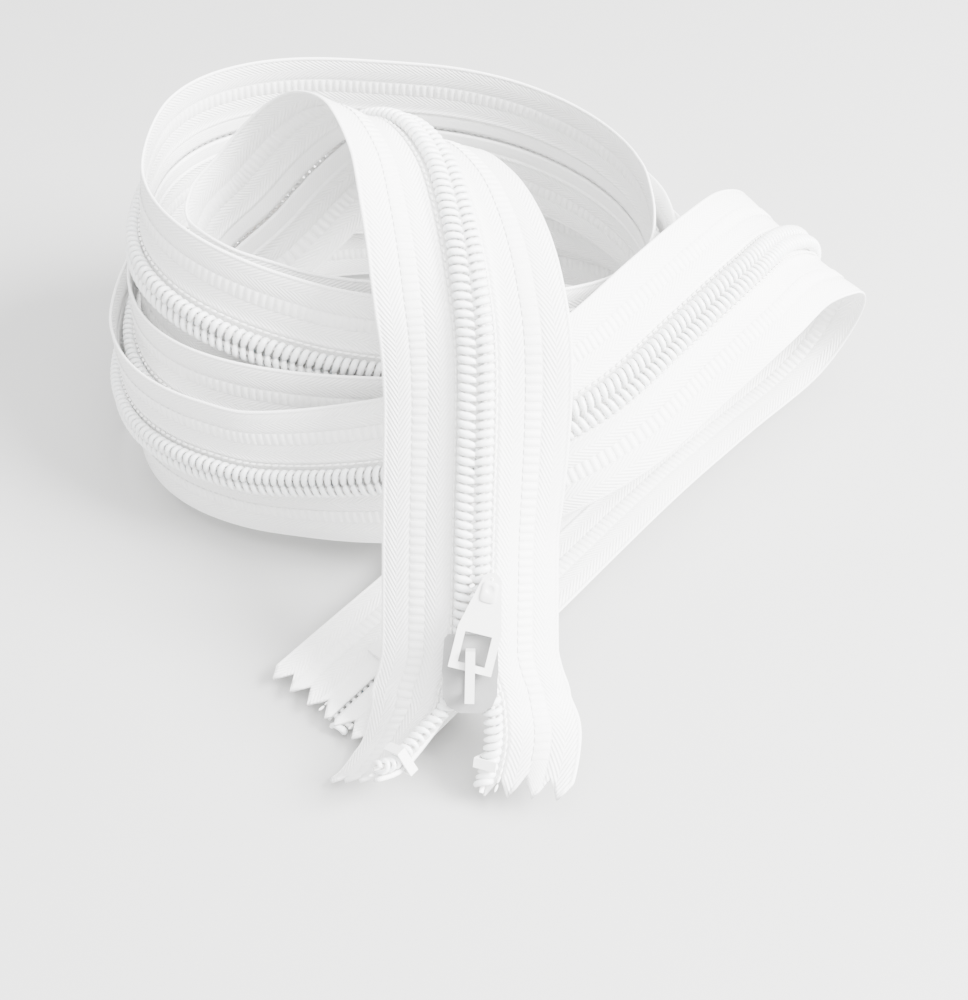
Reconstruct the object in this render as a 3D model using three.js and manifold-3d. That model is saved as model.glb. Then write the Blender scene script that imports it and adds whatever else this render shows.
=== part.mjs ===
// A long closed-end nylon coil zipper, wound by hand into a loose standing bundle.
// Millimetres, +Z up. The origin is on the table, under the middle of the bundle's box.
// The strip runs from its slider end, up a ramp and over a crest, round three turns,
// out to a fold at the right, and back flat on the table to its far end.
import * as THREE from "three";
import { mergeVertices } from "three/addons/utils/BufferGeometryUtils.js";
import Module from "manifold-3d";

const wasm = await Module();
wasm.setup();

// ---- Driving dimensions -------------------------------------------------------------
const STRIP_HALF = 12.5; // middle of the chain to a tape's outer edge
const TAPE_INNER = 1.1; // middle of the chain to a tape's inner edge
const TAPE_THICK = 0.5;
const GAP = 0.3; // between touching meshes
const COIL_IN = 0.15; // middle of the chain to a coil's inner side
const COIL_OUT = 2.35;
const COIL_LOW = TAPE_THICK + GAP;
const COIL_HIGH = 2.6;
const COIL_WALL = 0.35;
const STITCH_WIDE = 0.4;
const PINK_PITCH = 3.4; // zigzag of the cut tape ends
const PINK_DEPTH = 2.6;

// The bundle: turns are counted in degrees, anticlockwise from the right, seen from above.
const TURN_CENTRE = [-14, 25];
const TURN_STEP = 12;
const FIRST_TURN = -108;
const LAST_TURN = 972;
const BOXINESS = 0.8; // 1 is an ellipse, less is squarer
const HEIGHT_AT = [
  [-150, 36.5], [-108, 33], [-90, 30.5], [-45, 25.5], [0, 27], [30, 30.5], [60, 34.5],
  [90, 38.5], [130, 39.7], [180, 39.5], [225, 38.8], [270, 31.5], [315, 24.5], [360, 23.5],
  [400, 24.5], [450, 25.5], [540, 22.5], [585, 21.6], [630, 21.8], [675, 18], [720, 17.6],
  [810, 14], [870, 13], [930, 16.2], [990, 18.2],
];
const HALF_LONG_AT = [
  [-180, 32], [-90, 38], [0, 41.5], [90, 38.5], [180, 37.2], [270, 40], [360, 45.2],
  [450, 43.4], [540, 40.8], [630, 44], [720, 48.8], [810, 46.5], [900, 44.4], [990, 45.5],
];
const HALF_DEEP_AT = [
  [-90, 26], [90, 27.6], [270, 29.9], [450, 32], [630, 33.9], [810, 35.4], [990, 38.6],
];
const LEAN_AT = [
  [-180, 10], [-90, 8], [0, 4], [90, 8], [180, 10], [225, 13], [270, 3], [450, 5],
  [540, 4], [720, 0], [990, 0],
];

// Puts the origin under the middle of the whole bundle's box.
const TO_ORIGIN = new THREE.Vector3(-1.696, -1.853, 0);

// The ramp is the straight run that the slider travels on.
const RAMP_FOOT = new THREE.Vector3(-1.9, -49, 9);
const RAMP_LENGTH = 45.5;
const RAMP_WAY = new THREE.Vector3(0.02, Math.cos(THREE.MathUtils.degToRad(47)),
  Math.sin(THREE.MathUtils.degToRad(47))).normalize();
const MOUTH_AT = 2; // the slider's mouth, along the ramp

// Hand-laid stretches: middle of the strip, then the way across it from left to right.
const CREST = [
  [-2.0, -9.5, 49, 0.99, 0.04, -0.08],
  [-4.0, 0, 53.6, 0.95, 0.1, -0.22],
  [-7, 9.5, 56.2, 0.9, 0.17, -0.36],
  [-12, 18, 56.3, 0.84, 0.25, -0.46],
  [-19, 24, 52, 0.76, 0.22, -0.6],
  [-26, 25.5, 45.5, 0.68, 0.14, -0.72],
  [-32.5, 23, 39.5, 0.58, 0.12, -0.8],
  [-38.3, 17, 36.8, 0.3, 0.06, -0.95],
  [-40.3, 9.5, 36, 0.08, 0.02, -1],
  [-36.5, 2.6, 35, -0.08, -0.1, -1],
];
const FOLD_RUN = [
  [-18, -13.9, 19.5, 0.05, -0.14, -0.99],
  [-3, -14.3, 22.6, 0.12, -0.3, -0.94],
  [6.4, -15, 28, 0.26, -0.45, -0.85],
  [17.3, -9.7, 31.3, 0.4, -0.5, -0.76],
  [28.3, 1.1, 34.2, 0.52, -0.53, -0.66],
  [38.5, 12.6, 35.4, 0.62, -0.55, -0.53],
  [46, 24, 32.6, 0.7, -0.52, -0.45],
  [52.5, 32, 27, 0.74, -0.55, -0.38],
  [54.5, 36, 18, 0.77, -0.57, -0.25],
  [51, 35, 8.5, 0.785, -0.6, -0.12],
  [43.5, 29, 3.6, 0.785, -0.62, 0],
  [33, 18.5, 3, 0.785, -0.62, 0],
  [20, 4.3, 3, 0.785, -0.62, 0],
  [0, -19.5, 3, 0.785, -0.62, 0],
  [-12, -33.8, 3, 0.785, -0.62, 0],
  [-21.2, -44.8, 3, 0.785, -0.62, 0],
];
// Tails below the slider: middle line of the parted chain, and the way across each tape.
// The soft tape shears here, so the way across is not square to the way along.
const LEFT_TAIL = [
  [-13.2, -58, 9, 0.635, -0.385, 0.667],
  [-10.1, -55.7, 7.6, 0.766, -0.378, 0.523],
  [-6.6, -51.4, 8.4, 0.9, -0.27, 0.34],
];
const RIGHT_TAIL = [
  [-0.6, -55.7, 1.9, 0.86, -0.3, 0.42],
  [0.2, -53.1, 3.7, 0.88, -0.25, 0.38],
  [0.6, -50.4, 6.9, 0.92, -0.15, 0.25],
];

// Slider, in its own frame: x across the chain, y up the chain from the mouth, z outward.
const WING_LENGTH = 10;
const WING_FRONT = 3.5; // half widths of the wings
const WING_REAR = 3.0;
const WING_TOP = [2.9, 3.7];
const WING_LOW = [-1.2, -0.3];
const RAIL = { inner: 3.0, outer: 3.6, low: 1.7, from: 5.4 };
const POST = { half: 0.8, tip: 0.3, from: 0.4, to: 3.6 };
const BAIL = { half: 0.6, from: 1.8, to: 8.4, leg: 1.0, low: 4.0, top: [5.9, 6.4] };
const PIVOT = { y: 6.1, z: 5.2, radius: 0.45 };
const SPRING = { half: 0.5, from: 2.9, to: 6.3, z: [4.0, 4.25], pin: 0.35, pinAt: 5.5, pinLow: 2.9 };
const TAB = { length: 12.35, wide: 2.8, tip: 1.3, shoulder: 4.9, window: 1.75, windowEnd: 4.4, thick: 0.9 };
const TAB_TILT = THREE.MathUtils.degToRad(-7); // its tip lies down near the chain
const TAB_YAW = THREE.MathUtils.degToRad(-13); // and leans to the right

// ---- Route --------------------------------------------------------------------------
function between(table, at) {
  // A value from a short table, straight between neighbouring entries.
  const next = table.findIndex((row) => row[0] > at);
  if (next === 0) return table[0][1];
  if (next < 0) return table[table.length - 1][1];
  const [a, b] = [table[next - 1], table[next]];
  const share = (at - a[0]) / (b[0] - a[0]);
  return a[1] + (b[1] - a[1]) * share;
}

function eased(table, at) {
  // The table averaged over a little of the turn, so that the strip has no corners.
  const steps = [-27, -18, -9, 0, 9, 18, 27];
  return steps.reduce((sum, step) => sum + between(table, at + step), 0) / steps.length;
}

function turnKey(degrees) {
  const angle = THREE.MathUtils.degToRad(degrees);
  const [c, s] = [Math.cos(angle), Math.sin(angle)];
  const [long, deep] = [eased(HALF_LONG_AT, degrees), eased(HALF_DEEP_AT, degrees)];
  const out = new THREE.Vector3(
    (Math.sign(c) * Math.abs(c) ** (2 - BOXINESS)) / long,
    (Math.sign(s) * Math.abs(s) ** (2 - BOXINESS)) / deep, 0).normalize();
  const lean = THREE.MathUtils.degToRad(eased(LEAN_AT, degrees));
  return [
    TURN_CENTRE[0] + long * Math.sign(c) * Math.abs(c) ** BOXINESS,
    TURN_CENTRE[1] + deep * Math.sign(s) * Math.abs(s) ** BOXINESS,
    eased(HEIGHT_AT, degrees),
    out.x * Math.sin(lean), out.y * Math.sin(lean), -Math.cos(lean),
  ];
}

function rampKey(along, aside = 0, wx = 1, wz = 0) {
  const p = RAMP_FOOT.clone().addScaledVector(RAMP_WAY, along);
  return [p.x + aside, p.y, p.z, wx, 0, wz];
}

function spline(keys, steps) {
  // Catmull-Rom through every key; steps[i] pieces after key i.
  const out = [];
  const last = keys.length - 1;
  const mirror = (a, b) => a.map((v, k) => 2 * v - b[k]);
  for (let i = 0; i < last; i += 1) {
    const [b, c] = [keys[i], keys[i + 1]];
    const a = i > 0 ? keys[i - 1] : mirror(b, c);
    const d = i + 2 <= last ? keys[i + 2] : mirror(c, b);
    for (let j = 0; j < steps[i]; j += 1) {
      const t = j / steps[i];
      out.push(b.map((v, k) => 0.5 * (2 * v + (c[k] - a[k]) * t
        + (2 * a[k] - 5 * v + 4 * c[k] - d[k]) * t * t
        + (3 * v - a[k] - 3 * c[k] + d[k]) * t ** 3)));
    }
  }
  out.push(keys[last]);
  return out;
}

function frames(keys, steps) {
  // Place, way along, way across and outward way of the strip at each station.
  const rows = spline(keys.map((key) => [...key, 1].slice(0, 7)), steps);
  const places = rows.map((r) => new THREE.Vector3(r[0], r[1], r[2]));
  return rows.map((r, i) => {
    const along = places[Math.min(i + 1, rows.length - 1)].clone()
      .sub(places[Math.max(i - 1, 0)]).normalize();
    const across = new THREE.Vector3(r[3], r[4], r[5]);
    across.addScaledVector(along, -r[6] * across.dot(along)).normalize();
    return { place: places[i], along, across, out: across.clone().cross(along).normalize() };
  });
}

const turns = [];
for (let t = FIRST_TURN; t <= LAST_TURN; t += TURN_STEP) turns.push(turnKey(t));

// How far each half of the chain stands from its middle, along the ramp, inside the slider.
const PARTING = [[2, 1.9], [4, 1.5], [6, 0.75], [8.2, 0.15], [10.5, 0]];

function halfKeys(side, tail) {
  const parting = PARTING.map(([along, aside]) => rampKey(along, side * aside));
  const ramp = [24, RAMP_LENGTH].map((along) => rampKey(along));
  const loose = [...tail, ...parting].map((key) => [...key, 0]);
  const keys = [...loose, ...ramp, ...CREST, ...turns, ...FOLD_RUN];
  const ownSteps = tail.length + CREST.length + parting.length + ramp.length;
  const steps = keys.map((_, i) => {
    if (i < tail.length) return 2;
    if (i < tail.length + parting.length + ramp.length - 1) return 1;
    if (i < ownSteps) return 2;
    return i < ownSteps + turns.length - 1 ? 1 : 2;
  });
  return frames(keys, steps);
}

const leftFrames = halfKeys(-1, LEFT_TAIL);
const rightFrames = halfKeys(1, RIGHT_TAIL);

// ---- Solids -------------------------------------------------------------------------
function closedGeometry(points, triangles) {
  const geometry = new THREE.BufferGeometry();
  geometry.setAttribute("position", new THREE.Float32BufferAttribute(points.flatMap((p) => [p.x, p.y, p.z]), 3));
  geometry.setIndex(triangles.flat());
  return geometry;
}

// Sweeps a section, a list of [across, out] corners, along the stations. side is -1 for the
// left half of the chain and 1 for the right. A second, smaller section makes a bore.
function sweep(stations, side, section, bore = null) {
  const loops = bore ? [section, bore] : [section];
  const [points, triangles] = [[], []];
  const add = (a, b, c) => triangles.push(side < 0 ? [a, b, c] : [a, c, b]);
  for (const loop of loops) {
    const first = points.length;
    const n = loop.length;
    for (const f of stations) {
      for (const [w, h] of loop) {
        points.push(f.place.clone().addScaledVector(f.across, side * w).addScaledVector(f.out, h));
      }
    }
    for (let i = 0; i + 1 < stations.length; i += 1) {
      for (let j = 0; j < n; j += 1) {
        const [a, b] = [first + i * n + j, first + i * n + ((j + 1) % n)];
        if (loop === bore) {
          add(a, b + n, b);
          add(a, a + n, b + n);
        } else {
          add(a, b, b + n);
          add(a, b + n, a + n);
        }
      }
    }
  }
  const n = section.length;
  const ends = [0, stations.length - 1];
  for (const end of ends) {
    const flip = end > 0;
    const face = (a, b, c) => (flip ? add(a, b, c) : add(a, c, b));
    const outer = (j) => end * n + (j % n);
    const inner = (j) => stations.length * n + end * n + (j % n);
    if (bore) {
      for (let j = 0; j < n; j += 1) {
        face(outer(j), outer(j + 1), inner(j + 1));
        face(outer(j), inner(j + 1), inner(j));
      }
    } else {
      for (let j = 1; j + 1 < n; j += 1) face(outer(0), outer(j), outer(j + 1));
    }
  }
  return closedGeometry(points, triangles);
}

const box = (x0, x1, y0, y1, z0, z1) => new THREE.BoxGeometry(x1 - x0, y1 - y0, z1 - z0)
  .translate((x0 + x1) / 2, (y0 + y1) / 2, (z0 + z1) / 2);

function prism(outline, z0, z1, holes = []) {
  const shape = new THREE.Shape(outline.map(([x, y]) => new THREE.Vector2(x, y)));
  for (const hole of holes) shape.holes.push(new THREE.Path(hole.map(([x, y]) => new THREE.Vector2(x, y))));
  return new THREE.ExtrudeGeometry(shape, { depth: z1 - z0, bevelEnabled: false }).translate(0, 0, z0);
}

function solid(geometry) {
  const plain = geometry.clone();
  plain.deleteAttribute("normal");
  plain.deleteAttribute("uv");
  const merged = mergeVertices(plain, 1e-5);
  return new wasm.Manifold(new wasm.Mesh({
    numProp: 3,
    vertProperties: new Float32Array(merged.attributes.position.array),
    triVerts: new Uint32Array(merged.index.array),
  }));
}

function fromSolid(body) {
  const mesh = body.getMesh();
  const geometry = new THREE.BufferGeometry();
  geometry.setAttribute("position", new THREE.BufferAttribute(new Float32Array(mesh.vertProperties), 3));
  geometry.setIndex(new THREE.BufferAttribute(new Uint32Array(mesh.triVerts), 1));
  return geometry;
}

const joined = (parts) => parts.map(solid).reduce((sum, part) => sum.add(part));

// A matrix that carries a piece made at the origin to a station of the strip.
function stationMatrix(f, aside = 0) {
  return new THREE.Matrix4().makeBasis(f.across, f.along, f.out)
    .setPosition(f.place.clone().addScaledVector(f.across, aside));
}

function lengthAlong(stations) {
  let total = 0;
  return stations.map((f, i) => {
    if (i > 0) total += f.place.distanceTo(stations[i - 1].place);
    return total;
  });
}

function stationAt(stations, distance) {
  const run = lengthAlong(stations);
  const i = Math.max(1, run.findIndex((v) => v >= distance));
  const share = (distance - run[i - 1]) / (run[i] - run[i - 1]);
  const [a, b] = [stations[i - 1], stations[i]];
  const along = b.place.clone().sub(a.place).normalize();
  const across = a.across.clone().lerp(b.across, share);
  across.addScaledVector(along, -across.dot(along)).normalize();
  return { place: a.place.clone().lerp(b.place, share), along, across, out: across.clone().cross(along) };
}

// ---- Materials ----------------------------------------------------------------------
const cloth = new THREE.MeshStandardMaterial({ color: 0xf1f1ee, roughness: 0.9, metalness: 0 });
const nylon = new THREE.MeshStandardMaterial({ color: 0xf6f6f3, roughness: 0.45, metalness: 0 });
const thread = new THREE.MeshStandardMaterial({ color: 0xf4f4f0, roughness: 0.8, metalness: 0 });
const paint = new THREE.MeshStandardMaterial({ color: 0xe9e9e4, roughness: 0.35, metalness: 0.1 });
const steel = new THREE.MeshStandardMaterial({ color: 0x9a9a98, roughness: 0.35, metalness: 0.9 });

const group = new THREE.Group();
function addMesh(name, geometry, material, matrix = null) {
  const mesh = new THREE.Mesh(geometry, material);
  mesh.name = name;
  if (matrix) mesh.applyMatrix4(matrix);
  group.add(mesh);
}

// ---- Tapes, coils, core cords and stitching -----------------------------------------
const STOP_AT = 5; // top stops, from the cut end of each tail
const BOTTOM_STOP_FROM_END = 13;
const rightRun = lengthAlong(rightFrames);
const bottomStation = stationAt(rightFrames, rightRun[rightRun.length - 1] - BOTTOM_STOP_FROM_END);

function pinkingCutters(station, inward, side) {
  // Notches cut into the tape's end, one for each tooth gap.
  const cutters = [];
  for (let k = 0; k * PINK_PITCH < STRIP_HALF + 1; k += 1) {
    const middle = side * (TAPE_INNER + 1.5 + k * PINK_PITCH);
    const half = PINK_PITCH / 2 - 0.05;
    const notch = prism([[middle - half, -0.6 * inward], [middle, PINK_DEPTH * inward],
      [middle + half, -0.6 * inward]].sort((a, b) => inward * (a[0] - b[0])), -2, 2.5);
    cutters.push(solid(notch.applyMatrix4(stationMatrix(station))));
  }
  return cutters;
}

const BOTTOM_STOP = { half: 3.95, leg: 0.5, long: 2.4, plate: [2.9, 3.0], fold: [-0.8, -0.3], foldTo: 1.2 };
const bottomLegHole = (side) => solid(box(side * 3.7 - 0.6, side * 3.7 + 0.6, -1.6, 1.6, -1, 2)
  .applyMatrix4(stationMatrix(bottomStation)));

for (const [side, word, stations] of [[-1, "left", leftFrames], [1, "right", rightFrames]]) {
  const tape = [[TAPE_INNER, 0], [STRIP_HALF, 0], [STRIP_HALF, TAPE_THICK], [TAPE_INNER, TAPE_THICK]];
  let body = solid(sweep(stations, side, tape));
  for (const cut of [...pinkingCutters(stations[0], 1, side),
    ...pinkingCutters(stations[stations.length - 1], -1, side), bottomLegHole(side)]) body = body.subtract(cut);
  addMesh(`${word}_tape`, fromSolid(body), cloth);

  const coil = [[COIL_IN, COIL_LOW], [COIL_OUT, COIL_LOW], [COIL_OUT, COIL_HIGH], [COIL_IN, COIL_HIGH]];
  const inset = (section, by) => {
    const [[x0, y0], , [x1, y1]] = section;
    return [[x0 + by, y0 + by], [x1 - by, y0 + by], [x1 - by, y1 - by], [x0 + by, y1 - by]];
  };
  const bore = inset(coil, COIL_WALL);
  addMesh(`${word}_coil`, sweep(stations, side, coil, bore), nylon);
  addMesh(`${word}_core_cord`, sweep(stations, side, inset(bore, GAP)), thread);

  const stitchIn = COIL_OUT + GAP;
  const stitch = [[stitchIn, COIL_LOW], [stitchIn + STITCH_WIDE, COIL_LOW], [stitchIn + STITCH_WIDE / 2, COIL_LOW + 0.35]];
  addMesh(`${word}_stitching`, sweep(stations, side, stitch), thread);

  // Top stop: a clip bent round the tape's edge and the coil.
  const stop = joined([
    box(-0.6, COIL_OUT + 0.2, -0.65, 0.65, COIL_HIGH + 0.3, COIL_HIGH + 0.6),
    box(-0.6, -0.25, -0.65, 0.65, -0.7, COIL_HIGH + 0.5),
    box(-0.6, COIL_OUT + 0.2, -0.65, 0.65, -0.7, -0.4),
  ]);
  const mirrored = fromSolid(side > 0 ? stop : stop.scale([-1, 1, 1]));
  addMesh(`${word}_top_stop`, mirrored, paint, stationMatrix(stationAt(stations, STOP_AT)));
}

const legHeight = [BOTTOM_STOP.fold[0], BOTTOM_STOP.plate[1]];
const bottomPieces = [box(-BOTTOM_STOP.half, BOTTOM_STOP.half, -1.2, 1.2, ...BOTTOM_STOP.plate)];
for (const side of [-1, 1]) {
  const ends = (a, b) => [Math.min(side * a, side * b), Math.max(side * a, side * b)];
  const leg = ends(BOTTOM_STOP.half - BOTTOM_STOP.leg, BOTTOM_STOP.half);
  bottomPieces.push(box(...leg, -1.2, 1.2, ...legHeight));
  bottomPieces.push(box(...ends(BOTTOM_STOP.foldTo, BOTTOM_STOP.half), -1.2, 1.2, ...BOTTOM_STOP.fold));
}
addMesh("bottom_stop", fromSolid(joined(bottomPieces)), paint, stationMatrix(bottomStation));

// ---- Slider -------------------------------------------------------------------------
const across = new THREE.Vector3(1, 0, 0).addScaledVector(RAMP_WAY, -RAMP_WAY.x).normalize();
const outward = across.clone().cross(RAMP_WAY);
const sliderMatrix = new THREE.Matrix4().makeBasis(across, RAMP_WAY, outward)
  .setPosition(RAMP_FOOT.clone().addScaledVector(RAMP_WAY, MOUTH_AT));

const wingOutline = [
  [-1.2, 0], [1.2, 0], [2.9, 0.9], [WING_FRONT, 2.4], [WING_FRONT, 4.4], [RAIL.outer, 5.4],
  [RAIL.outer - 0.2, WING_LENGTH - 0.6], [WING_REAR, WING_LENGTH],
  [-WING_REAR, WING_LENGTH], [0.2 - RAIL.outer, WING_LENGTH - 0.6], [-RAIL.outer, 5.4],
  [-WING_FRONT, 4.4], [-WING_FRONT, 2.4], [-2.9, 0.9],
];
const pinHole = [[-0.65, SPRING.pinAt - 0.65], [0.65, SPRING.pinAt - 0.65],
  [0.65, SPRING.pinAt + 0.65], [-0.65, SPRING.pinAt + 0.65]];
const postOutline = [[-0.5, POST.from], [0.5, POST.from], [POST.half, POST.from + 0.8],
  [POST.tip, POST.to], [-POST.tip, POST.to], [-POST.half, POST.from + 0.8]];
const rail = (side) => box(Math.min(side * RAIL.inner, side * (RAIL.outer - 0.2)),
  Math.max(side * RAIL.inner, side * (RAIL.outer - 0.2)), RAIL.from, WING_LENGTH - 0.6, RAIL.low, WING_TOP[0] + 0.2);
const sliderBody = joined([
  prism(wingOutline, ...WING_TOP, [pinHole]),
  prism(wingOutline, ...WING_LOW),
  prism(postOutline, WING_LOW[1] - 0.2, WING_TOP[0] + 0.2),
  rail(-1), rail(1),
]);
addMesh("slider_body", fromSolid(sliderBody), paint, sliderMatrix);

const bail = joined([
  box(-BAIL.half, BAIL.half, BAIL.from, BAIL.to, ...BAIL.top),
  box(-BAIL.half, BAIL.half, BAIL.from, BAIL.from + BAIL.leg, BAIL.low, BAIL.top[0] + 0.1),
  box(-BAIL.half, BAIL.half, BAIL.to - BAIL.leg, BAIL.to, BAIL.low, BAIL.top[0] + 0.1),
]);
addMesh("slider_bail", fromSolid(bail), paint, sliderMatrix);

const lockSpring = joined([
  box(-SPRING.half, SPRING.half, SPRING.from, SPRING.to, ...SPRING.z),
  box(-SPRING.pin, SPRING.pin, SPRING.pinAt - SPRING.pin, SPRING.pinAt + SPRING.pin,
    SPRING.pinLow, SPRING.z[0] + 0.1),
]);
addMesh("lock_spring", fromSolid(lockSpring), steel, sliderMatrix);

// ---- Pull tab, made about its crossbar ----------------------------------------------
const tipArc = [];
for (let k = 0; k <= 8; k += 1) {
  const angle = (Math.PI * k) / 8;
  tipArc.push([TAB.tip * Math.cos(angle), TAB.length - TAB.tip + TAB.tip * Math.sin(angle)]);
}
const tabOutline = [[TAB.wide, -PIVOT.radius], [TAB.wide, TAB.shoulder], ...tipArc,
  [-TAB.wide, TAB.shoulder], [-TAB.wide, -PIVOT.radius]];
const window = [[-TAB.window, PIVOT.radius], [TAB.window, PIVOT.radius],
  [TAB.window, TAB.windowEnd], [-TAB.window, TAB.windowEnd]];
const cordHole = Array.from({ length: 10 }, (_, k) => {
  const angle = (2 * Math.PI * k) / 10;
  return [0.3 * Math.cos(angle), TAB.length - 0.8 + 0.3 * Math.sin(angle)];
});
const pullTab = prism(tabOutline, -TAB.thick / 2, TAB.thick / 2, [window, cordHole]);
const tabMatrix = sliderMatrix.clone()
  .multiply(new THREE.Matrix4().makeTranslation(0, PIVOT.y, PIVOT.z))
  .multiply(new THREE.Matrix4().makeRotationZ(TAB_YAW))
  .multiply(new THREE.Matrix4().makeRotationX(TAB_TILT));
addMesh("pull_tab", pullTab, paint, tabMatrix);

for (const mesh of group.children) mesh.position.add(TO_ORIGIN);

export default group;
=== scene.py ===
"""A long white nylon coil zipper, wound by hand into a loose bundle on a white table."""

import math

import bpy
import numpy as np
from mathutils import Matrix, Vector


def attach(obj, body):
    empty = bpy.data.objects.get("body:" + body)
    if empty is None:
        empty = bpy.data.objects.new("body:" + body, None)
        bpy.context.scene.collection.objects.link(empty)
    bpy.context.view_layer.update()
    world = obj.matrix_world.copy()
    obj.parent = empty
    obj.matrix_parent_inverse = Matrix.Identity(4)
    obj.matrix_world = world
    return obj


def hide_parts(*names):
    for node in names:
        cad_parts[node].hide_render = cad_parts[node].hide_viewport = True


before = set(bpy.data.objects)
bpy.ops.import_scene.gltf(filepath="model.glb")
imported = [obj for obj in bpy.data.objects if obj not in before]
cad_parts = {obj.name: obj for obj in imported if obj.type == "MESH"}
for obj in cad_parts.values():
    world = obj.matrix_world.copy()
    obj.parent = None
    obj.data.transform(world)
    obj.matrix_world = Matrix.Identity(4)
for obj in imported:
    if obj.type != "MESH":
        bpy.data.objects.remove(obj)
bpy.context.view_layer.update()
MM = 0.001

# ---- Driving dimensions, in millimetres ----------------------------------------------
# Across the strip, "aside" is counted from the middle of the chain, and "height" from the
# back of the tape.
STRIP_HALF = 12.5
TAPE_THICK = 0.5
TAPE_INNER = 0.35  # the tapes nearly meet under the chain; in the part they stop at 1.1
EDGE_ROUND = 0.3  # the outermost part of the tape, where it thins
COIL_PITCH = 1.16
COIL_ASIDE = (1.06, 0.98)  # middle of a loop, and how far the filament goes to each side
COIL_HEIGHT = (1.66, 0.68)
FILAMENT_RADIUS = 0.34
FILAMENT_SPREAD = 1.4  # the filament is pressed flat: wider along the chain than it is thick
HEAD_SPREAD = 0.85  # narrower where the heads of the two halves lock
CORD_ASIDE = 1.1
CORD_HEIGHT = 1.65
CORD_RADIUS = 0.3
STITCH_ASIDE = 2.62
STITCH_HEIGHT = 0.72
LADDER_PITCH = 1.13
LADDER = (6.3, 8.5)
LADDER_CLEAR = 5.0  # no bars this near to a cut end
PINK_PITCH = 3.4
PINK_DEPTH = 2.6
PINK_FIRST = 2.6
TO_ORIGIN = np.array([-1.696, -1.853, 0.0])

# ---- Camera --------------------------------------------------------------------------
VIEW_HEIGHT = 46.0
VIEW_DISTANCE = 200.0
camera_data = bpy.data.cameras.new("camera")
camera_data.lens = 43.96
camera_data.clip_start = 0.01
camera = bpy.data.objects.new("camera", camera_data)
bpy.context.scene.collection.objects.link(camera)
bpy.context.scene.camera = camera
view = math.radians(VIEW_HEIGHT)
camera.location = (
    np.array([0, -math.cos(view) * VIEW_DISTANCE, math.sin(view) * VIEW_DISTANCE]) + TO_ORIGIN
) * MM
camera.rotation_euler = (math.pi / 2 - view, 0, 0)

# ---- Route of the strip, as in the part ----------------------------------------------
TURN_CENTRE = (-14, 25)
TURN_STEP = 12
FIRST_TURN = -108
LAST_TURN = 972
BOXINESS = 0.8
# For the turns, against the angle round the roll in degrees: height of the strip's middle,
# half the roll's length along x, half its depth along y, and how far the strip leans.
HEIGHT_AT = [
    (-150, 36.5), (-108, 33), (-90, 30.5), (-45, 25.5), (0, 27), (30, 30.5), (60, 34.5),
    (90, 38.5), (130, 39.7), (180, 39.5), (225, 38.8), (270, 31.5), (315, 24.5), (360, 23.5),
    (400, 24.5), (450, 25.5), (540, 22.5), (585, 21.6), (630, 21.8), (675, 18), (720, 17.6),
    (810, 14), (870, 13), (930, 16.2), (990, 18.2),
]
HALF_LONG_AT = [
    (-180, 32), (-90, 38), (0, 41.5), (90, 38.5), (180, 37.2), (270, 40), (360, 45.2),
    (450, 43.4), (540, 40.8), (630, 44), (720, 48.8), (810, 46.5), (900, 44.4), (990, 45.5),
]
HALF_DEEP_AT = [
    (-90, 26), (90, 27.6), (270, 29.9), (450, 32), (630, 33.9), (810, 35.4), (990, 38.6),
]
LEAN_AT = [
    (-180, 10), (-90, 8), (0, 4), (90, 8), (180, 10), (225, 13), (270, 3), (450, 5),
    (540, 4), (720, 0), (990, 0),
]
RAMP_FOOT = np.array([-1.9, -49, 9])
RAMP_LENGTH = 45.5
RAMP_WAY = np.array([0.02, math.cos(math.radians(47)), math.sin(math.radians(47))])
RAMP_WAY /= np.linalg.norm(RAMP_WAY)
# Half the gap between the two halves of the chain, along the ramp, inside the slider.
PARTING = [(2, 1.9), (4, 1.5), (6, 0.75), (8.2, 0.15), (10.5, 0)]
# Stretches listed key by key: middle of the strip, then the way across it from left to right.
CREST = [
    (-2.0, -9.5, 49, 0.99, 0.04, -0.08),
    (-4.0, 0, 53.6, 0.95, 0.1, -0.22),
    (-7, 9.5, 56.2, 0.9, 0.17, -0.36),
    (-12, 18, 56.3, 0.84, 0.25, -0.46),
    (-19, 24, 52, 0.76, 0.22, -0.6),
    (-26, 25.5, 45.5, 0.68, 0.14, -0.72),
    (-32.5, 23, 39.5, 0.58, 0.12, -0.8),
    (-38.3, 17, 36.8, 0.3, 0.06, -0.95),
    (-40.3, 9.5, 36, 0.08, 0.02, -1),
    (-36.5, 2.6, 35, -0.08, -0.1, -1),
]
FOLD_RUN = [
    (-18, -13.9, 19.5, 0.05, -0.14, -0.99),
    (-3, -14.3, 22.6, 0.12, -0.3, -0.94),
    (6.4, -15, 28, 0.26, -0.45, -0.85),
    (17.3, -9.7, 31.3, 0.4, -0.5, -0.76),
    (28.3, 1.1, 34.2, 0.52, -0.53, -0.66),
    (38.5, 12.6, 35.4, 0.62, -0.55, -0.53),
    (46, 24, 32.6, 0.7, -0.52, -0.45),
    (52.5, 32, 27, 0.74, -0.55, -0.38),
    (54.5, 36, 18, 0.77, -0.57, -0.25),
    (51, 35, 8.5, 0.785, -0.6, -0.12),
    (43.5, 29, 3.6, 0.785, -0.62, 0),
    (33, 18.5, 3, 0.785, -0.62, 0),
    (20, 4.3, 3, 0.785, -0.62, 0),
    (0, -19.5, 3, 0.785, -0.62, 0),
    (-12, -33.8, 3, 0.785, -0.62, 0),
    (-21.2, -44.8, 3, 0.785, -0.62, 0),
]
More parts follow.
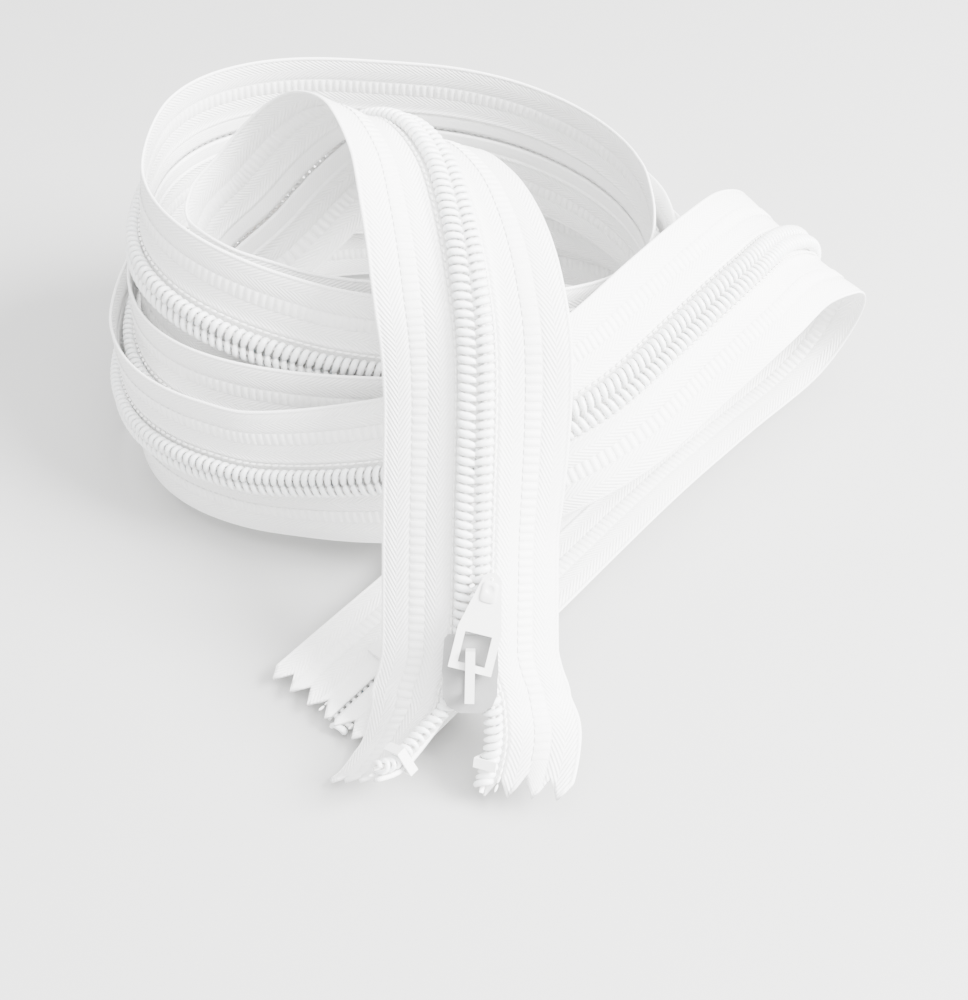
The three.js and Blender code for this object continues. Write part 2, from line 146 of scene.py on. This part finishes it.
# Tails below the slider, where the soft tape shears, so the way across is not square.
TAILS = {
    "left": [
        (-13.2, -58, 9, 0.635, -0.385, 0.667),
        (-10.1, -55.7, 7.6, 0.766, -0.378, 0.523),
        (-6.6, -51.4, 8.4, 0.9, -0.27, 0.34),
    ],
    "right": [
        (-0.6, -55.7, 1.9, 0.86, -0.3, 0.42),
        (0.2, -53.1, 3.7, 0.88, -0.25, 0.38),
        (0.6, -50.4, 6.9, 0.92, -0.15, 0.25),
    ],
}
SIDES = {"left": -1, "right": 1}
# How far each tape's outer part curls back, in degrees, against the distance from its end.
CURL_FROM = 4.0
CURL = {
    "left": [(0, 0), (8, 12), (14.5, 30), (22, 22), (55, 16), (75, 0)],
    "right": [(0, 8), (6, 22), (34, 30), (58, 0)],
}


def between(table, at):
    """A value from a short table, straight between neighbouring entries."""
    places, values = zip(*table)
    return float(np.interp(at, places, values))


def eased(table, at):
    """The table averaged over a little of the turn, so that the strip has no corners."""
    return sum(between(table, at + step) for step in range(-27, 28, 9)) / 7


def turn_key(degrees):
    """A key of the route on a rounded box, wound round the roll's upright axis."""
    c, s = math.cos(math.radians(degrees)), math.sin(math.radians(degrees))
    long, deep = eased(HALF_LONG_AT, degrees), eased(HALF_DEEP_AT, degrees)
    out = np.array([
        math.copysign(abs(c) ** (2 - BOXINESS), c) / long,
        math.copysign(abs(s) ** (2 - BOXINESS), s) / deep,
    ])
    out /= np.linalg.norm(out)
    lean = math.radians(eased(LEAN_AT, degrees))
    return (
        TURN_CENTRE[0] + long * math.copysign(abs(c) ** BOXINESS, c),
        TURN_CENTRE[1] + deep * math.copysign(abs(s) ** BOXINESS, s),
        eased(HEIGHT_AT, degrees),
        out[0] * math.sin(lean), out[1] * math.sin(lean), -math.cos(lean),
    )


def ramp_key(along, aside=0.0):
    """A key on the straight ramp that carries the slider."""
    x, y, z = RAMP_FOOT + RAMP_WAY * along
    return (x + aside, y, z, 1, 0, 0)


def spline(keys, steps=12):
    """Catmull-Rom through every key."""
    k = np.array(keys, float)
    k = np.vstack([2 * k[0] - k[1], k, 2 * k[-1] - k[-2]])
    a, b, c, d = (k[i:len(k) - 3 + i, None, :] for i in range(4))
    t = (np.arange(steps) / steps)[None, :, None]
    rows = 0.5 * (2 * b + (c - a) * t + (2 * a - 5 * b + 4 * c - d) * t**2
                  + (3 * b - a - 3 * c + d) * t**3)
    return np.vstack([rows.reshape(-1, k.shape[1]), k[-2]])


class Strip:
    """One half of the chain: its frames against the distance from its slider end."""

    def __init__(self, word):
        self.side = SIDES[word]
        self.curl_places, self.curl_angles = zip(*CURL[word])
        parting = [ramp_key(along, self.side * aside) for along, aside in PARTING]
        turns = [turn_key(t) for t in range(FIRST_TURN, LAST_TURN + 1, TURN_STEP)]
        square = [ramp_key(24), ramp_key(RAMP_LENGTH)] + CREST + turns + FOLD_RUN
        # The last value says whether the way across is made square to the way along.
        keys = [(*key, 0) for key in TAILS[word] + parting] + [(*key, 1) for key in square]
        rows = spline(keys)
        self.place = rows[:, :3]
        along = np.gradient(self.place, axis=0)
        self.along = along / np.linalg.norm(along, axis=1)[:, None]
        across = rows[:, 3:6]
        across = across - self.along * (rows[:, 6] * (across * self.along).sum(1))[:, None]
        self.across = across / np.linalg.norm(across, axis=1)[:, None]
        out = np.cross(self.across, self.along)
        self.out = out / np.linalg.norm(out, axis=1)[:, None]
        gaps = np.linalg.norm(np.diff(self.place, axis=0), axis=1)
        self.run = np.concatenate([[0], np.cumsum(gaps)])
        self.length = float(self.run[-1])

    def at(self, distance, field):
        """The frames' place, along, across or out at the distances given."""
        values = getattr(self, field)
        return np.stack([np.interp(distance, self.run, values[:, k]) for k in range(3)], -1)

    def point(self, distance, aside, height):
        """Places in metres, in the row frame; aside is from the middle of the chain."""
        aside, height = np.asarray(aside, float), np.asarray(height, float)
        curl = np.radians(np.interp(distance, self.curl_places, self.curl_angles))
        beyond = np.maximum(aside - CURL_FROM, 0)
        height = (height - beyond * np.sin(curl))[..., None]
        aside = (aside - beyond * (1 - np.cos(curl)))[..., None] * self.side
        place = self.at(distance, "place") + self.at(distance, "across") * aside
        return (place + self.at(distance, "out") * height + TO_ORIGIN) * MM


strips = {word: Strip(word) for word in SIDES}


# ---- Materials -----------------------------------------------------------------------
class Nodes:
    """A small helper that builds a procedural material's node tree."""

    def __init__(self, name, colour, roughness, **inputs):
        self.material = bpy.data.materials.new(name)
        self.material.use_nodes = True
        self.tree = self.material.node_tree
        self.shader = self.tree.nodes["Principled BSDF"]
        self.shader.inputs["Base Color"].default_value = (*colour, 1)
        self.shader.inputs["Roughness"].default_value = roughness
        for key, value in inputs.items():
            self.shader.inputs[key.replace("_", " ")].default_value = value

    def add(self, kind, **settings):
        node = self.tree.nodes.new(kind)
        for key, value in settings.items():
            setattr(node, key, value)
        return node

    def link(self, source, target):
        self.tree.links.new(source, target)

    def math(self, operation, *values, clamp=False):
        node = self.add("ShaderNodeMath", operation=operation, use_clamp=clamp)
        for socket, value in zip(node.inputs, values):
            if isinstance(value, (int, float)):
                socket.default_value = value
            else:
                self.link(value, socket)
        return node.outputs[0]

    def bump(self, height, distance, strength=1.0):
        node = self.add("ShaderNodeBump")
        node.inputs["Distance"].default_value = distance
        node.inputs["Strength"].default_value = strength
        self.link(height, node.inputs["Height"])
        self.link(node.outputs[0], self.shader.inputs["Normal"])

    def noise(self, scale, detail=3.0):
        place = self.add("ShaderNodeTexCoord")
        node = self.add("ShaderNodeTexNoise")
        node.inputs["Scale"].default_value = scale
        node.inputs["Detail"].default_value = detail
        self.link(place.outputs["Object"], node.inputs["Vector"])
        return node.outputs[0]

    def tint(self, amount, dark, light):
        mix = self.add("ShaderNodeMix", data_type="RGBA")
        mix.inputs["A"].default_value = (*dark, 1)
        mix.inputs["B"].default_value = (*light, 1)
        self.link(amount, mix.inputs["Factor"])
        self.link(mix.outputs["Result"], self.shader.inputs["Base Color"])


HERRINGBONE_CENTRES = (4.75, 10.35)  # one column on each side of the ladder
HERRINGBONE_HALF = 1.72
RIB_PITCH = 0.85
RIB_SLANT = 1.9  # ribs passed along the tape for each millimetre across it
WEFT_PITCH = 0.42
WARP_PITCH = 0.36


def cloth_material():
    """White woven tape: herringbone columns beside the ladder, from the cloth's own UVs, with
    painted shade in the weave's grooves.
    """
    n = Nodes("tape_cloth", (0.93, 0.93, 0.925), 0.85, Sheen_Weight=0.25, Sheen_Roughness=0.4)
    uv = n.add("ShaderNodeUVMap", uv_map="weave")
    split = n.add("ShaderNodeSeparateXYZ")
    n.link(uv.outputs[0], split.inputs[0])
    aside, along = split.outputs[0], split.outputs[1]
    near, far = HERRINGBONE_CENTRES
    second = n.math("GREATER_THAN", aside, sum(LADDER) / 2)
    centre = n.math("ADD", near, n.math("MULTIPLY", second, far - near))
    off = n.math("ABSOLUTE", n.math("SUBTRACT", aside, centre))
    phase = n.math("ADD", n.math("MULTIPLY", along, 1 / RIB_PITCH),
                   n.math("MULTIPLY", off, -RIB_SLANT))
    rib = n.math("SINE", n.math("MULTIPLY", phase, 2 * math.pi))
    rib = n.math("MULTIPLY_ADD", rib, 0.5, 0.5)
    inside = n.math("LESS_THAN", off, HERRINGBONE_HALF)
    weft = n.math("SINE", n.math("MULTIPLY", along, 2 * math.pi / WEFT_PITCH))
    warp = n.math("SINE", n.math("MULTIPLY", aside, 2 * math.pi / WARP_PITCH))
    plain = n.math("MULTIPLY_ADD", n.math("MULTIPLY", weft, warp), 0.25, 0.5)
    height = n.math("ADD", n.math("MULTIPLY", rib, inside),
                    n.math("MULTIPLY", plain, n.math("SUBTRACT", 1.0, inside)))
    fuzz = n.noise(2600.0)
    height = n.math("ADD", height, n.math("MULTIPLY", fuzz, 0.35))
    n.bump(height, 0.00012, 0.55)
    # Painted shade: the colour follows the weave's height, darker in its grooves and lighter on
    # its ribs.
    n.tint(n.math("MULTIPLY_ADD", height, 0.7, 0.15, clamp=True), (0.86, 0.86, 0.85),
           (0.955, 0.955, 0.95))
    return n.material


def plain_material(name, dark, light, roughness, scale, depth, **inputs):
    """One colour with a fine grain of the given scale and depth."""
    n = Nodes(name, light, roughness, **inputs)
    grain = n.noise(scale)
    n.tint(grain, dark, light)
    n.bump(grain, depth, 0.5)
    return n.material


CLOTH = cloth_material()
LADDER_YARN = plain_material("ladder_yarn", (0.88, 0.88, 0.87), (0.96, 0.96, 0.955), 0.75,
                             3000.0, 0.00006, Sheen_Weight=0.2)
NYLON = plain_material("nylon_filament", (0.92, 0.92, 0.91), (0.965, 0.965, 0.96), 0.32,
                       900.0, 0.00001, Coat_Weight=0.15, Subsurface_Weight=0.08)
CORD = plain_material("spun_cord", (0.87, 0.87, 0.86), (0.94, 0.94, 0.93), 0.85,
                      2500.0, 0.00008, Sheen_Weight=0.2)
THREAD = plain_material("sewing_thread", (0.9, 0.9, 0.89), (0.96, 0.96, 0.95), 0.7,
                        3000.0, 0.00005, Sheen_Weight=0.2)
PAINT = plain_material("white_enamel", (0.74, 0.74, 0.73), (0.78, 0.78, 0.77), 0.34,
                       700.0, 0.00003, Coat_Weight=0.2)
MOULDED = plain_material("moulded_stop", (0.86, 0.86, 0.85), (0.93, 0.93, 0.92), 0.5,
                         700.0, 0.00003)
# The slider body's mid grey is partly its metal's own colour and partly painted shade: it is
# darkened so that the window and crevices under the tab read as shaded.
BODY_SHADE_DARKENED = plain_material("zinc_body_shade_darkened", (0.3, 0.3, 0.3), (0.36, 0.36, 0.36), 0.38,
                      700.0, 0.00003, Metallic=0.3)
STEEL = plain_material("spring_steel", (0.32, 0.32, 0.32), (0.5, 0.5, 0.5), 0.35,
                       900.0, 0.00001, Metallic=0.9)


# ---- Mesh helpers --------------------------------------------------------------------
def make_piece(name, points, faces, material, body, replaced=(), uv=None):
    """A smooth-shaded mesh that rides on a body and may stand in for CAD nodes."""
    mesh = bpy.data.meshes.new(name)
    mesh.from_pydata(np.asarray(points).tolist(), [], [list(face) for face in faces])
    if uv is not None:
        layer = mesh.uv_layers.new(name="weave")
        loops = np.empty(len(mesh.loops), dtype=np.int32)
        mesh.loops.foreach_get("vertex_index", loops)
        layer.data.foreach_set("uv", np.asarray(uv)[loops].astype(np.float32).ravel())
    mesh.polygons.foreach_set("use_smooth", [True] * len(mesh.polygons))
    mesh.materials.append(material)
    mesh.update()
    piece = bpy.data.objects.new(name, mesh)
    bpy.context.scene.collection.objects.link(piece)
    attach(piece, body)
    if replaced:
        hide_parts(*replaced)
    return piece


def grid_faces(rows, columns, closed, flip):
    """Quads over a grid of rows by columns; closed joins the last column to the first."""
    i = np.arange(rows - 1)[:, None]
    j = np.arange(columns if closed else columns - 1)[None, :]
    k = (j + 1) % columns
    quads = np.stack([i * columns + j, i * columns + k, (i + 1) * columns + k,
                      (i + 1) * columns + j], -1).reshape(-1, 4)
    return quads[:, ::-1] if flip else quads


# ---- Tapes ---------------------------------------------------------------------------
def face_relief(aside):
    """How far the woven face stands above or below the tape's plain face, in mm."""
    relief = 0.16 * np.exp(-((aside - 3.25) / 0.32) ** 2)  # rolled edge beside the coil
    for groove in (2.75, *LADDER, 11.95):
        relief = relief - 0.1 * np.exp(-((aside - groove) / 0.16) ** 2)
    edge = np.clip((aside - (STRIP_HALF - EDGE_ROUND)) / EDGE_ROUND, 0, 1)
    return relief - 0.2 * edge**2


def pinked(aside):
    """How far the zigzag cut comes in from the tape's very end, in mm."""
    near = np.abs((aside - PINK_FIRST + PINK_PITCH / 2) % PINK_PITCH - PINK_PITCH / 2)
    return PINK_DEPTH * np.clip(1 - near / (PINK_PITCH / 2), 0, 1)


def make_tape(word):
    """One woven tape: a closed loop of columns round its section, swept to both cut ends."""
    strip = strips[word]
    tips = PINK_FIRST + PINK_PITCH / 2 * np.arange(-1, 6)
    fine = np.concatenate([
        np.linspace(TAPE_INNER, 2.4, 4), np.arange(2.75, 3.9, 0.18), tips[tips < 12.4],
        [6.15, 6.3, 6.45, 8.35, 8.5, 8.65, 5.2, 10.3, 11.8, 11.95, 12.1, 12.3, STRIP_HALF],
    ])
    aside = np.unique(np.round(fine, 3))
    relief = face_relief(aside)
    loop_w = np.concatenate([aside, aside[::-1]])
    loop_h = np.concatenate([-relief, (TAPE_THICK + relief)[::-1]])
    start = pinked(loop_w)
    rows = int(strip.length / 0.9)
    share = np.linspace(0, 1, rows)[:, None]
    distance = start[None, :] + (strip.length - 2 * start[None, :]) * share
    points = strip.point(distance, np.broadcast_to(loop_w, distance.shape),
                         np.broadcast_to(loop_h, distance.shape))
    columns = len(loop_w)
    faces = grid_faces(rows, columns, True, strip.side > 0).tolist()
    half = len(aside)
    for row, flip in ((0, strip.side > 0), (rows - 1, strip.side < 0)):
        for j in range(half - 1):
            a, b = row * columns + j, row * columns + columns - 1 - j
            quad = [a, b, b - 1, a + 1]
            faces.append(quad[::-1] if flip else quad)
    uv = np.stack([np.broadcast_to(loop_w, distance.shape), distance], -1).reshape(-1, 2)
    return make_piece(f"{word}_tape_cloth", points.reshape(-1, 3), faces, CLOTH,
                      "strip", [f"{word}_tape"], uv)


def repeat_piece(name, strip, starts, template, faces, material, replaced=()):
    """One mesh of many copies: template rows are (along, aside, height) from each start."""
    template = np.array(template, float)
    distance = np.asarray(starts)[:, None] + template[None, :, 0]
    shape = distance.shape
    points = strip.point(distance, np.broadcast_to(template[:, 1], shape),
                         np.broadcast_to(template[:, 2], shape)).reshape(-1, 3)
    faces = np.array(faces)
    if strip.side < 0:
        faces = faces[:, ::-1]
    copies = (np.arange(len(starts)) * len(template))[:, None, None] + faces[None]
    return make_piece(name, points, copies.reshape(-1, faces.shape[1]), material,
                      "strip", replaced)


def make_ladder(word):
    """Raised bars of yarn across each tape, on both of its faces."""
    strip = strips[word]
    arc = [(-0.42, 0.0), (-0.3, 0.11), (0.0, 0.17), (0.3, 0.11), (0.42, 0.0)]
    template, faces = [], []
    for face, height in ((1, TAPE_THICK - 0.02), (-1, 0.02)):
        first = len(template)
        for w in (LADDER[0] + 0.05, LADDER[0] + 0.3, LADDER[1] - 0.3, LADDER[1] - 0.05):
            low = 0.35 if w in (LADDER[0] + 0.05, LADDER[1] - 0.05) else 1.0
            template += [(v, w, height + face * (h * low)) for v, h in arc]
        for i in range(3):
            for j in range(4):
                a = first + i * 5 + j
                quad = [a, a + 1, a + 6, a + 5]
                faces.append(quad if face > 0 else quad[::-1])
    starts = np.arange(LADDER_CLEAR, strip.length - LADDER_CLEAR, LADDER_PITCH)
    return repeat_piece(f"{word}_ladder_bars", strip, starts, template, faces, LADDER_YARN)


# ---- Coils, core cords and stitches --------------------------------------------------
def tube(strip, distance, aside, height, radius, sides):
    """A tube along a line given in the strip's own terms.

    The radius is one value or one for each ring and side. Side 0 faces away from the cord's
    line, or outward from the strip where the tube is the cord itself.
    """
    line = strip.point(distance, aside, height)
    way = np.gradient(line, axis=0)
    way /= np.linalg.norm(way, axis=1)[:, None]
    middle = strip.point(distance, np.full_like(distance, CORD_ASIDE),
                         np.full_like(distance, CORD_HEIGHT))
    away = line - middle
    on_cord = np.linalg.norm(away, axis=1) < 1e-6
    away[on_cord] = strip.at(distance, "out")[on_cord]
    away -= way * (away * way).sum(1)[:, None]
    away /= np.linalg.norm(away, axis=1)[:, None]
    third = np.cross(way, away)
    turn = np.linspace(0, 2 * np.pi, sides, endpoint=False)
    size = np.broadcast_to(np.asarray(radius, float) * MM, (len(line), sides))
    ring = (away[:, None] * np.cos(turn)[None, :, None]
            + third[:, None] * np.sin(turn)[None, :, None])
    points = (line[:, None] + ring * size[:, :, None]).reshape(-1, 3)
    faces = grid_faces(len(line), sides, True, False).tolist()
    faces.append(list(range(sides)))
    faces.append([(len(line) - 1) * sides + k for k in range(sides)][::-1])
    return points, [face[::-1] for face in faces]


def make_coil(word):
    """One flattened nylon filament wound into loops whose heads meet the other half's."""
    strip = strips[word]
    per_turn, sides = 14, 8
    turns = int((strip.length - 1.2) / COIL_PITCH)
    step = np.arange(turns * per_turn + 1) / per_turn
    angle = 2 * np.pi * step
    c, s = np.cos(angle), np.sin(angle)
    aside = COIL_ASIDE[0] - COIL_ASIDE[1] * np.sign(c) * np.abs(c) ** 0.85
    height = COIL_HEIGHT[0] + COIL_HEIGHT[1] * np.sign(s) * np.abs(s) ** 0.8
    head = np.clip((c - 0.3) / 0.7, 0, 1)[:, None]
    spread = FILAMENT_SPREAD + (HEAD_SPREAD - FILAMENT_SPREAD) * head
    around = np.linspace(0, 2 * np.pi, sides, endpoint=False)[None, :]
    radius = FILAMENT_RADIUS * spread / np.hypot(spread * np.cos(around), np.sin(around))
    offset = 0.6 + (COIL_PITCH / 2 if strip.side > 0 else 0)
    distance = offset + step * COIL_PITCH
    points, faces = tube(strip, distance, aside, height, radius, sides)
    return make_piece(f"{word}_coil_filament", points, faces, NYLON, "strip",
                      [f"{word}_coil"])


def make_core(word):
    """The spun cord inside the coil, with the twist of its three strands."""
    strip = strips[word]
    strands, sides = 3, 10
    distance = np.arange(0.3, strip.length - 0.3, 0.7)
    turn = np.linspace(0, 2 * np.pi, sides, endpoint=False)
    twist = strands * (turn[None, :] + distance[:, None] * 0.55)
    radius = CORD_RADIUS * (1 + 0.1 * np.cos(twist))
    aside = np.full_like(distance, CORD_ASIDE)
    height = np.full_like(distance, CORD_HEIGHT)
    points, faces = tube(strip, distance, aside, height, radius, sides)
    return make_piece(f"{word}_core_yarn", points, faces, CORD, "strip",
                      [f"{word}_core_cord"])


def make_stitches(word):
    """The chain stitch that holds the coil down: one bead of thread for each loop."""
    strip = strips[word]
    template, faces = [], []
    rings = [(-0.5, 0.3), (-0.25, 0.9), (0.2, 1.0), (0.5, 0.35)]
    for v, size in rings:
        for k in range(6):
            turn = 2 * math.pi * k / 6
            template.append((v, STITCH_ASIDE + 0.2 * size * math.cos(turn) + 0.1 * v,
                             STITCH_HEIGHT + 0.22 * size * math.sin(turn)))
    for i in range(3):
        for k in range(6):
            a, b = i * 6 + k, i * 6 + (k + 1) % 6
            faces.append([a, a + 6, b + 6, b])
    starts = np.arange(1.0, strip.length - 1, COIL_PITCH)
    return repeat_piece(f"{word}_stitches", strip, starts, template, faces, THREAD,
                        [f"{word}_stitching"])


for half in SIDES:
    tape = make_tape(half)
    bars = make_ladder(half)
    make_coil(half)
    make_core(half)
    make_stitches(half)


# ---- Metal parts: the part's own solids, with softened edges -------------------------
def soften(name, width, material, segments=3):
    """Give a CAD node its material and a bevel of the given width in millimetres."""
    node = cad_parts[name]
    node.data.materials.clear()
    node.data.materials.append(material)
    bevel = node.modifiers.new("soft edges", "BEVEL")
    bevel.width = width * MM
    bevel.segments = segments
    bevel.limit_method = "ANGLE"
    bevel.angle_limit = math.radians(25)
    bevel.harden_normals = False


soften("slider_body", 0.28, BODY_SHADE_DARKENED)
soften("slider_bail", 0.2, PAINT)
soften("pull_tab", 0.16, PAINT)
soften("lock_spring", 0.06, STEEL, 2)
for stop in ("left_top_stop", "right_top_stop", "bottom_stop"):
    soften(stop, 0.1, MOULDED, 2)


# ---- Raised pad with a dimple near the pull tab's tip --------------------------------
# As in the part: the mouth's place on the ramp, then the tab's pivot, along and outward
# from the mouth, and the tab's angles and half thickness.
SLIDER_MOUTH = 2.0
PIVOT = (6.1, 5.2)
TAB_YAW = -13.0
TAB_TILT = -7.0
TAB_FACE = 0.45
PAD_CENTRE = 9.8
PAD_REACH = (1.05, 1.35)
PAD_HEIGHT = 0.22
DIMPLE = 0.5
DIMPLE_SHIFT = 0.35


def tab_points(local):
    """Places in metres of points given in the tab's own frame: across, towards the tip, up."""
    across = np.array([1, 0, 0]) - RAMP_WAY[0] * RAMP_WAY
    across /= np.linalg.norm(across)
    outward = np.cross(across, RAMP_WAY)
    yaw, tilt = math.radians(TAB_YAW), math.radians(TAB_TILT)
    x, y, z = np.asarray(local, float).T
    y, z = y * math.cos(tilt) - z * math.sin(tilt), y * math.sin(tilt) + z * math.cos(tilt)
    x, y = x * math.cos(yaw) - y * math.sin(yaw), x * math.sin(yaw) + y * math.cos(yaw)
    place = RAMP_FOOT + RAMP_WAY * SLIDER_MOUTH + TO_ORIGIN
    y, z = y + PIVOT[0], z + PIVOT[1]
    return (place + x[:, None] * across + y[:, None] * RAMP_WAY + z[:, None] * outward) * MM


def make_tab_pad():
    """A rounded rectangle raised on the tab, with a round dimple towards the tip."""
    sides = 40
    turn = np.linspace(0, 2 * np.pi, sides, endpoint=False)
    c, s = np.cos(turn), np.sin(turn)
    outline_x = PAD_REACH[0] * np.sign(c) * np.abs(c) ** 0.45
    outline_y = PAD_REACH[1] * np.sign(s) * np.abs(s) ** 0.45
    # Each ring: share of the dimple's radius, share of the outline, rise above the pad.
    rings = [(0.05, 0.0, -0.1), (0.7, 0.0, -0.08), (0.92, 0.0, -0.02), (1.0, 0.0, 0.0),
             (1.15, 0.0, 0.02), (1.0, 0.93, 0.0), (1.0, 0.98, -0.05),
             (1.0, 1.0, -PAD_HEIGHT - 0.1)]
    points = []
    for round_share, square_share, rise in rings:
        x = DIMPLE * c * round_share * (1 - square_share) + outline_x * square_share
        y = DIMPLE * s * round_share * (1 - square_share) + outline_y * square_share
        y = y + PAD_CENTRE + (DIMPLE_SHIFT if square_share == 0 else 0.0)
        z = np.full_like(x, TAB_FACE + PAD_HEIGHT + rise)
        points.append(np.stack([x, y, z], -1))
    faces = grid_faces(len(rings), sides, True, True).tolist()
    faces.append(list(range(sides)))
    faces.append([(len(rings) - 1) * sides + k for k in range(sides)][::-1])
    make_piece("tab_tip_pad", tab_points(np.vstack(points)), faces, PAINT, "tab")


make_tab_pad()


# ---- Table, light --------------------------------------------------------------------
def make_floor():
    """The table, as a plain square at the height the bundle rests on."""
    mesh = bpy.data.meshes.new("table_top")
    reach = 2.0
    mesh.from_pydata([(-reach, -reach, 0), (reach, -reach, 0), (reach, reach, 0),
                      (-reach, reach, 0)], [], [(0, 1, 2, 3)])
    mesh.materials.append(plain_material("table_top", (0.45, 0.45, 0.446), (0.465, 0.465, 0.46),
                                         0.6, 60.0, 0.00002))
    floor = bpy.data.objects.new("table_top", mesh)
    bpy.context.scene.collection.objects.link(floor)


def area_light(name, place, target, size, power):
    """A round lamp at a place in metres, aimed at the target."""
    data = bpy.data.lights.new(name, "AREA")
    data.shape = "DISK"
    data.size = size
    data.energy = power
    light = bpy.data.objects.new(name, data)
    bpy.context.scene.collection.objects.link(light)
    light.location = place
    way = np.array(target, float) - np.array(place, float)
    light.rotation_mode = "QUATERNION"
    light.rotation_quaternion = Vector(way).to_track_quat("-Z", "Y")


make_floor()
area_light("window", (0.55, -0.15, 0.5), (0, 0, 0.02), 0.4, 42.0)
area_light("ceiling", (0.1, -0.2, 0.9), (0, 0, 0), 0.9, 20.0)
world = bpy.data.worlds.new("room")
world.use_nodes = True
world.node_tree.nodes["Background"].inputs["Color"].default_value = (1, 1, 1, 1)
world.node_tree.nodes["Background"].inputs["Strength"].default_value = 2.0
bpy.context.scene.world = world
